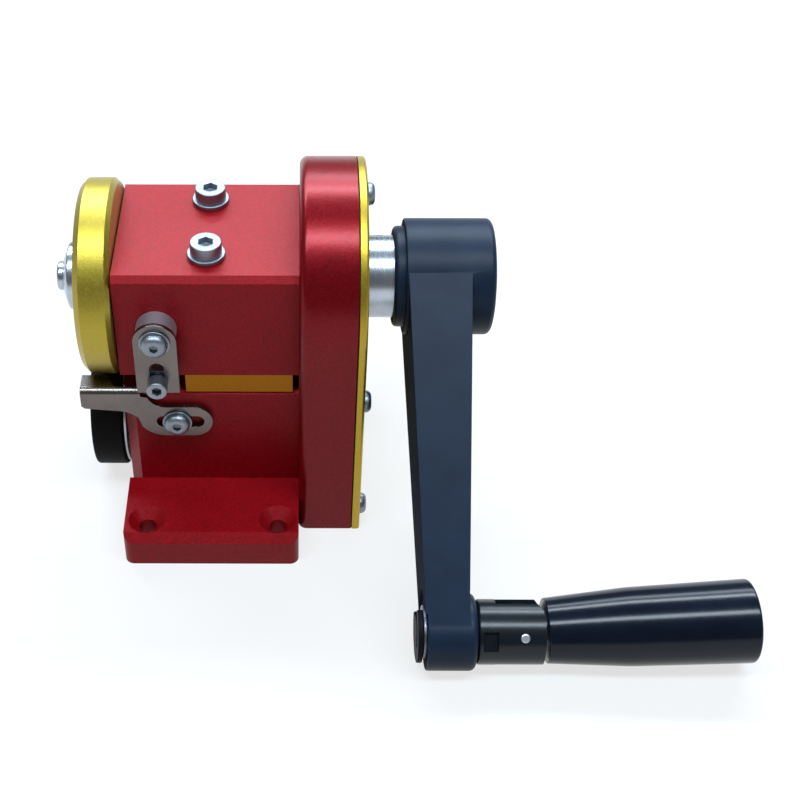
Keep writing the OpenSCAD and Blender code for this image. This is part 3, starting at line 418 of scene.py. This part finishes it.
def fillet(before, corner, after, radius, steps):
    """Points of an arc that rounds a corner of a flat outline."""
    to_before, to_after = before - corner, after - corner
    u, v = to_before.normalized(), to_after.normalized()
    angle = u.angle(v)
    room = LONGEST_FILLET * to_before.length, LONGEST_FILLET * to_after.length
    reach = min(radius / math.tan(angle / 2), *room)
    radius = reach * math.tan(angle / 2)
    centre = corner + (u + v).normalized() * (radius / math.sin(angle / 2))
    start, stop = corner + u * reach - centre, corner + v * reach - centre
    turn = math.atan2(start.x * stop.y - start.y * stop.x, start.dot(stop))
    points = []
    for i in range(steps + 1):
        a = turn * i / steps
        c, s = math.cos(a), math.sin(a)
        points.append(centre + Vector((start.x * c - start.y * s, start.x * s + start.y * c)))
    return points


def outline(corners, closed=False, steps=4):
    """Flat outline in metres from (x, y) or (x, y, rounding) corners in millimetres."""
    spots = [Vector((c[0], c[1])) * MM for c in corners]
    rounds = [(c[2] if len(c) > 2 else 0) * MM for c in corners]
    points = []
    for i, (spot, rounding) in enumerate(zip(spots, rounds)):
        at_end = not closed and i in (0, len(spots) - 1)
        if rounding and not at_end:
            points += fillet(spots[i - 1], spot, spots[(i + 1) % len(spots)], rounding, steps)
        else:
            points.append(spot)
    return points


def ring(bm, place, x, radius, turns, hexagonal=False):
    """Closed ring of vertices around local X; a hexagonal one has its corners at that radius."""
    verts = []
    for k in range(turns):
        a = 2 * math.pi * k / turns
        r = radius
        if hexagonal:
            r = radius * math.cos(math.pi / 6) / math.cos(a % (math.pi / 3) - math.pi / 6)
        verts.append(bm.verts.new(place @ Vector((x, r * math.sin(a), r * math.cos(a)))))
    return verts


def pole(bm, place, x, turns):
    """Single vertex on the local X axis, listed as often as a ring has vertices."""
    return [bm.verts.new(place @ Vector((x, 0, 0)))] * turns


def skin(bm, rings, closed=False):
    """Joins neighbouring rings with faces; closed also joins the last ring to the first."""
    pairs = list(zip(rings, rings[1:]))
    if closed:
        pairs.append((rings[-1], rings[0]))
    for low, high in pairs:
        for k in range(len(low)):
            corners = dict.fromkeys((low[k - 1], low[k], high[k], high[k - 1]))
            if len(corners) > 2:
                bm.faces.new(corners)


def lathe(bm, place, corners, turns, steps=4):
    """Turns a closed outline of (x, radius, rounding) in millimetres about the local X axis."""
    rings = []
    for point in outline(corners, closed=True, steps=steps):
        if point.y < 1e-7:
            rings.append(pole(bm, place, point.x, turns))
        else:
            rings.append(ring(bm, place, point.x, point.y, turns))
    skin(bm, rings, closed=True)


def facing(x, y, z, direction):
    """Frame at a place in millimetres whose local X axis points along the direction."""
    turn = Vector(direction).to_track_quat("X", "Z" if abs(direction[2]) < 0.9 else "Y")
    return Matrix.Translation(Vector((x, y, z)) * MM) @ turn.to_matrix().to_4x4()


def screw(bm, place, head, thread_r, length, socket_r, socket_depth):
    """Socket screw with its seat at local x = 0; head runs from the seat rim to the top face."""
    tip = -length * MM
    top = head[-1][0]
    spots = outline([(0, thread_r), *head, (top, socket_r + SOCKET_LEAD)], steps=5)
    rings = [pole(bm, place, tip, SCREW_TURNS), ring(bm, place, tip, thread_r * MM, SCREW_TURNS)]
    rings += [ring(bm, place, spot.x, spot.y, SCREW_TURNS) for spot in spots]
    for depth in (SOCKET_LEAD, socket_depth):
        level = (top - depth) * MM
        rings.append(ring(bm, place, level, socket_r * MM, SCREW_TURNS, hexagonal=True))
    floor_x = (top - socket_depth - SOCKET_POINT * socket_r) * MM
    rings.append(pole(bm, place, floor_x, SCREW_TURNS))
    skin(bm, rings)


def button(radius, height, flat):
    """Head outline of a button head screw, from its seat rim to its flat top."""
    rise = height * DOME_RIM
    arc = [math.pi / 2 * i / DOME_STEPS for i in range(DOME_STEPS + 1)]
    dome = [
        (rise + (height - rise) * math.sin(a), flat + (radius - flat) * math.cos(a)) for a in arc
    ]
    return [(0, radius - 0.1), (0.1, radius), *dome]


def turned_piece(node, place, corners, turns=96, steps=4):
    bm = bmesh.new()
    lathe(bm, place, corners, turns, steps)
    settle(bm, node + "_turned", node)


def screws(node, places, head, thread_r, length, socket_r, socket_depth):
    bm = bmesh.new()
    for place in places:
        screw(bm, place, head, thread_r, length, socket_r, socket_depth)
    settle(bm, node + "_turned", node)


def washers(node, places, inner, outer, thickness, rounding):
    bm = bmesh.new()
    corners = [
        (0, inner), (0, outer, rounding),
        (thickness, outer, rounding), (thickness, inner, 0.1),
    ]
    for place in places:
        lathe(bm, place, corners, turns=64)
    settle(bm, node + "_turned", node)


# ---------------------------------------------------------------- pieces

for name, thing in frame["nodes"].items():
    paint(thing, finish_of(name))

# pieces that keep their CAD shape and get rounded edges
EDGE_WIDTHS = {
    "lower_body": 0.45,
    "upper_body": 0.35,
    "spacer_plate": 0.2,
    "gear_case": 0.25,
    "gear_cover": 0.2,
    "link_plate": 0.3,
    "guide_plate": 0.3,
    "shaft_sleeve": 0.35,
    "axle_clip": 0.3,
    "handle_axle": 0.3,
    "fold_pin": 0.6,
    "fold_spindle": 0.3,
    "stop_nut": 0.2,
    "spindle_nut": 0.2,
    "sleeve_set_screw": 0.15,
}
for name, width in EDGE_WIDTHS.items():
    refined(name, width)

# crank arm; its side faces take a rougher, less glossy black whose darker base colour is painted
# shade
BOSS_X0, BOSS_X1, BOSS_R = 68.3, 83.7, 12
HUB_X, HUB_R = 62.9, 19
COLLAR_X, COLLAR_R = 59.4, 16.5
LONG_EDGE = 40
SIDE_FACING = 0.97
arm = refined(
    "crank_arm", 0.4,
    rounder=(
        (on_circle(BOSS_X1, HANDLE_AXIS, BOSS_R), 2.0),
        (on_circle(BOSS_X0, HANDLE_AXIS, BOSS_R), 1.8),
        (on_circle(HUB_X, SHAFT_AXIS, HUB_R), 1.6),
        (on_circle(COLLAR_X, SHAFT_AXIS, COLLAR_R), 1.4),
        (lambda edge: edge.calc_length() > LONG_EDGE * MM, 1.3),
    ),
)
arm.data.materials.append(BLACK_SIDES_SHADED)
# faces that point along X get the darker black: painted shade on the arm's sides
for face in arm.data.polygons:
    face.material_index = int(abs(face.normal.x) > SIDE_FACING)

# fork of the folding handle
FORK_X0, FORK_R = 83.9, 10.1
refined("knuckle_fork", 0.35, rounder=((on_circle(FORK_X0, HANDLE_AXIS, FORK_R), 1.0),))

# clamping screws on top
CLAMP_Y = 15
WASHER_T = 1.6
screws(
    "clamp_screws", [facing(0, side * CLAMP_Y, TOP_Z + WASHER_T, UP) for side in (-1, 1)],
    head=[(0, 4.85), (0.15, 5), (4, 5, 0.55)],
    thread_r=3, length=60, socket_r=2.6, socket_depth=2.2,
)
washers(
    "clamp_washers", [facing(0, side * CLAMP_Y, TOP_Z, UP) for side in (-1, 1)],
    inner=3.2, outer=6, thickness=WASHER_T, rounding=0.35,
)

# feed wheel, its washer and its screw
SEAT_BORE_R = 6.02
WHEEL_X, WHEEL_END, WHEEL_R = -29.4, -40.8, 32
INNER_CHAMFER, OUTER_CHAMFER = 1.5, 1.9
CONE_X, CONE_R = WHEEL_END - 5.1, 11.1
WASHER_END, WASHER_END_R, WASHER_BORE_R = -48.0, 5.6, 3.2
at_shaft = facing(0, 0, CRANK_Z, TO_RIGHT)
turned_piece(
    "feed_wheel", at_shaft,
    [
        (WHEEL_END, SEAT_BORE_R), (WHEEL_END, WHEEL_R - OUTER_CHAMFER, 0.25),
        (WHEEL_END + OUTER_CHAMFER, WHEEL_R, 0.3), (WHEEL_X - INNER_CHAMFER, WHEEL_R, 0.3),
        (WHEEL_X, WHEEL_R - INNER_CHAMFER, 0.25), (WHEEL_X, SEAT_BORE_R),
    ],
    turns=192,
)
turned_piece(
    "wheel_washer", at_shaft,
    [
        (WASHER_END, WASHER_BORE_R), (WASHER_END, WASHER_END_R, 0.3), (CONE_X, CONE_R, 0.8),
        (WHEEL_END, CONE_R, 0.2), (WHEEL_END, WASHER_BORE_R),
    ],
)
screws(
    "wheel_screw", [facing(WASHER_END, 0, CRANK_Z, TO_LEFT)],
    head=[(0, 4.75), (0.1, 4.8), (2.1, 4.8, 1)],
    thread_r=3, length=20, socket_r=2.3, socket_depth=1.68,
)

# pressure roller, the disc behind it and its screw
ROLLER_X, ROLLER_END, ROLLER_R = -31, -42, 22.7
RECESS_DEEP, RECESS_R = 5, 9
DISC_T, DISC_R = 1, 21.5
at_roller = facing(0, 0, ROLLER_Z, TO_RIGHT)
turned_piece(
    "pressure_roller", at_roller,
    [
        (ROLLER_END + RECESS_DEEP, SEAT_BORE_R), (ROLLER_END + RECESS_DEEP, RECESS_R, 0.3),
        (ROLLER_END, RECESS_R, 0.4), (ROLLER_END, ROLLER_R, 1.0),
        (ROLLER_X, ROLLER_R, 1.0), (ROLLER_X, SEAT_BORE_R),
    ],
    turns=160,
)
turned_piece(
    "roller_disc", at_roller,
    [
        (ROLLER_X, SEAT_BORE_R), (ROLLER_X, DISC_R, 0.2),
        (ROLLER_X + DISC_T, DISC_R, 0.2), (ROLLER_X + DISC_T, SEAT_BORE_R),
    ],
)
screws(
    "roller_screw", [facing(ROLLER_END + 3.8, 0, ROLLER_Z, TO_LEFT)],
    head=button(5, 2.8, 2.6), thread_r=3, length=15, socket_r=2, socket_depth=1.54,
)

# gear cover screws: one at the top, turned a little towards the foot, and four at the sides
TOP_SCREW_R = CASE_R - 3.65
TOP_ANGLE = math.radians(7)
SIDE_SCREW_Y = CASE_R - 5.1
SIDE_SCREW_ROWS = (CRANK_Z - 24.8, 7.6)
COVER_SCREWS = [
    (-TOP_SCREW_R * math.sin(TOP_ANGLE), CRANK_Z + TOP_SCREW_R * math.cos(TOP_ANGLE)),
]
COVER_SCREWS += [(side * SIDE_SCREW_Y, z) for side in (-1, 1) for z in SIDE_SCREW_ROWS]
screws(
    "cover_screws", [facing(COVER_X, y, z, TO_RIGHT) for y, z in COVER_SCREWS],
    head=button(3.6, 2.2, 1.9), thread_r=1.25, length=8.5, socket_r=1.15, socket_depth=1.2,
)

# crank hub fastening
HUB_SCREW_SEAT = 87.4
screws(
    "hub_screw", [facing(HUB_SCREW_SEAT, 0, CRANK_Z, TO_RIGHT)],
    head=button(5, 3.2, 2.6), thread_r=3, length=18, socket_r=2, socket_depth=1.76,
)

# hanging link on its post, guide plate, and their screws
POST_LENGTH, POST_R = 6.4, 6.4
LINK_T = 1.5
GUIDE_GAP, GUIDE_T = 0.2, 1.8
LINK_X, LINK_Z = -15.9, TOP_Z - 18.8
LINK_FRONT = -HALF_D - POST_LENGTH - LINK_T
GUIDE_SCREW_X, GUIDE_SCREW_Z = -11.3, 41.4
GUIDE_FRONT = -HALF_D - GUIDE_GAP - GUIDE_T
SMALL_WASHER_T = 0.8
THREAD_IN_BLOCK = 9
for node, x, front, z in (
    ("link", LINK_X, LINK_FRONT, LINK_Z),
    ("guide", GUIDE_SCREW_X, GUIDE_FRONT, GUIDE_SCREW_Z),
):
    washers(
        node + "_washer", [facing(x, front, z, TO_FOOT)],
        inner=2.2, outer=4.9, thickness=SMALL_WASHER_T, rounding=0.2,
    )
    seat = front - SMALL_WASHER_T
    screws(
        node + "_screw", [facing(x, seat, z, TO_FOOT)], head=button(4.25, 2.5, 2.2),
        thread_r=2, length=-HALF_D - seat + THREAD_IN_BLOCK, socket_r=1.45, socket_depth=1.38,
    )
turned_piece(
    "standoff_post", facing(LINK_X, -HALF_D, LINK_Z, TO_FOOT),
    [(0, 2.2), (0, POST_R, 0.3), (POST_LENGTH, POST_R, 0.3), (POST_LENGTH, 2.2)],
)
STOP_Z = LINK_Z - 16.3
screws(
    "stop_screw", [facing(LINK_X, LINK_FRONT, STOP_Z, TO_FOOT)],
    head=[(0, 3.2), (0.1, 3.3), (4.6, 3.3, 0.45)],
    thread_r=2, length=6.7, socket_r=1.7, socket_depth=2.5,
)

# bush of the folding handle
BUSH_BORE_R, BUSH_R = 5.05, 6
FLANGE_X, FLANGE_R = BOSS_X0 - 1, 8.2
turned_piece(
    "axle_bush", facing(0, HANDLE_Y, HANDLE_Z, TO_RIGHT),
    [
        (FLANGE_X, BUSH_BORE_R, 0.2), (FLANGE_X, FLANGE_R, 0.3), (BOSS_X0, FLANGE_R, 0.1),
        (BOSS_X0, BUSH_R), (BOSS_X1, BUSH_R), (BOSS_X1, BUSH_BORE_R),
    ],
)

# grip, measured along its own axis from the fold pin, with the pocket of the spindle's nut
GRIP_FROM = 7.4
GRIP_END = GRIP_FROM + 64.1
GRIP_NOSE_R, GRIP_MIDDLE_R, GRIP_R = 10.1, 12.2, 13
SPINDLE_BORE_R = 3.35
POCKET_FROM, POCKET_END, POCKET_R = 22, GRIP_END - 6, 6.6
at_grip = (
    facing(0, HANDLE_Y, HANDLE_Z, TO_RIGHT) @ Matrix.Translation((FOLD_PIN_X * MM, 0, 0))
    @ Matrix.Rotation(-KNUCKLE_TURN, 4, "X") @ Matrix.Rotation(-GRIP_TILT, 4, "Y")
)
turned_piece(
    "handle_grip", at_grip,
    [
        (GRIP_FROM, SPINDLE_BORE_R), (GRIP_FROM, GRIP_NOSE_R, 0.5),
        (GRIP_FROM + 26, GRIP_MIDDLE_R, 60), (GRIP_END - 2, GRIP_R, 30), (GRIP_END, GRIP_R, 2.6),
        (GRIP_END, 0), (POCKET_END, 0),
        (POCKET_END, POCKET_R), (POCKET_FROM, POCKET_R), (POCKET_FROM, SPINDLE_BORE_R),
    ],
    turns=128, steps=8,
)


# ---------------------------------------------------------------- light and ground

LAMP_COLOUR = (0.76, 0.89, 1.0)
LAMP_TARGET = Vector((0.04, 0, 0.06))
SKY_COLOUR = (0.93, 0.96, 1.0, 1)
HORIZON, CEILING = 1.0, 0.18
CEILING_FROM = 0.08
FLOOR_HALF = 12.0
FLOOR_DROP = 0.1
FLOOR_GREY = 0.16
FLOOR_GLOW = 0.72


def strip_light(name, elevation, distance, length, width, radiance):
    """Softbox parallel to X; elevation, from the foot side over the top, and width in degrees."""
    angle = math.radians(elevation)
    size = 2 * distance * math.tan(math.radians(width) / 2)
    data = bpy.data.lights.new(name, "AREA")
    data.shape = "RECTANGLE"
    data.size = length
    data.size_y = size
    data.color = LAMP_COLOUR
    data.energy = 4 * radiance * length * size
    lamp = bpy.data.objects.new(name, data)
    bpy.context.scene.collection.objects.link(lamp)
    lamp.location = LAMP_TARGET + distance * Vector((0, -math.cos(angle), math.sin(angle)))
    lamp.rotation_euler = (math.pi / 2 - angle, 0, 0)


def studio_world():
    """White at the horizon like the floor, fading to a dim ceiling."""
    world = bpy.data.worlds.new("studio")
    world.use_nodes = True
    tree = world.node_tree
    place = tree.nodes.new("ShaderNodeTexCoord")
    parts = tree.nodes.new("ShaderNodeSeparateXYZ")
    fade = tree.nodes.new("ShaderNodeMapRange")
    fade.inputs["From Min"].default_value = 0.0
    fade.inputs["From Max"].default_value = CEILING_FROM
    fade.inputs["To Min"].default_value = HORIZON
    fade.inputs["To Max"].default_value = CEILING
    fade.interpolation_type = "SMOOTHSTEP"
    sky = tree.nodes["Background"]
    sky.inputs["Color"].default_value = SKY_COLOUR
    tree.links.new(place.outputs["Generated"], parts.inputs["Vector"])
    tree.links.new(parts.outputs["Z"], fade.inputs["Value"])
    tree.links.new(fade.outputs["Result"], sky.inputs["Strength"])
    return world


def floor_finish():
    """Pale floor; seen directly or in a reflection it is white, and it keeps the shadows."""
    material = bpy.data.materials.new("pale_floor")
    material.use_nodes = True
    tree = material.node_tree
    shader = tree.nodes["Principled BSDF"]
    shader.inputs["Base Color"].default_value = (FLOOR_GREY, FLOOR_GREY, FLOOR_GREY, 1)
    shader.inputs["Roughness"].default_value = 0.9
    shader.inputs["Specular IOR Level"].default_value = 0.1
    glow = tree.nodes.new("ShaderNodeEmission")
    glow.inputs["Strength"].default_value = FLOOR_GLOW
    path = tree.nodes.new("ShaderNodeLightPath")
    seen = path.outputs["Is Camera Ray"]
    for kind in ("Is Glossy Ray", "Is Transmission Ray"):
        either = tree.nodes.new("ShaderNodeMath")
        either.operation = "MAXIMUM"
        tree.links.new(seen, either.inputs[0])
        tree.links.new(path.outputs[kind], either.inputs[1])
        seen = either.outputs["Value"]
    both = tree.nodes.new("ShaderNodeAddShader")
    tree.links.new(shader.outputs["BSDF"], both.inputs[0])
    tree.links.new(glow.outputs["Emission"], both.inputs[1])
    mix = tree.nodes.new("ShaderNodeMixShader")
    tree.links.new(seen, mix.inputs["Fac"])
    tree.links.new(shader.outputs["BSDF"], mix.inputs[1])
    tree.links.new(both.outputs["Shader"], mix.inputs[2])
    tree.links.new(mix.outputs["Shader"], tree.nodes["Material Output"].inputs["Surface"])
    return material


strip_light("front_strip", elevation=73, distance=1.6, length=2.4, width=9, radiance=19)
strip_light("rear_strip", elevation=125, distance=1.6, length=2.4, width=8, radiance=19)
strip_light("rear_panel", elevation=142, distance=1.9, length=2.8, width=10, radiance=8)
bpy.context.scene.world = studio_world()

FLOOR_CORNERS = [
    (x * FLOOR_HALF, y * FLOOR_HALF, 0) for x, y in ((-1, -1), (1, -1), (1, 1), (-1, 1))
]
floor_mesh = bpy.data.meshes.new("floor")
floor_mesh.from_pydata(FLOOR_CORNERS, [], [(0, 1, 2, 3)])
floor = bpy.data.objects.new("floor", floor_mesh)
bpy.context.scene.collection.objects.link(floor)
floor.location = (0, 0, -FLOOR_DROP * MM)
paint(floor, floor_finish())

# ---------------------------------------------------------------- camera

CAMERA_AT = (28.25 * MM, -354.6 * MM, 349.24 * MM)
LOOKING_DOWN = 0.741
CAMERA_YAW = 0.0037

camera_data = bpy.data.cameras.new("camera")
camera_data.lens = 60.75
camera_data.sensor_width = 36
camera_data.shift_x = 0.1336
camera_data.clip_start = 0.01
camera = bpy.data.objects.new("camera", camera_data)
bpy.context.scene.collection.objects.link(camera)
camera.location = CAMERA_AT
camera.rotation_euler = (math.pi / 2 - LOOKING_DOWN, 0, CAMERA_YAW)
bpy.context.scene.camera = camera
bpy.context.scene.view_settings.view_transform = "Standard"
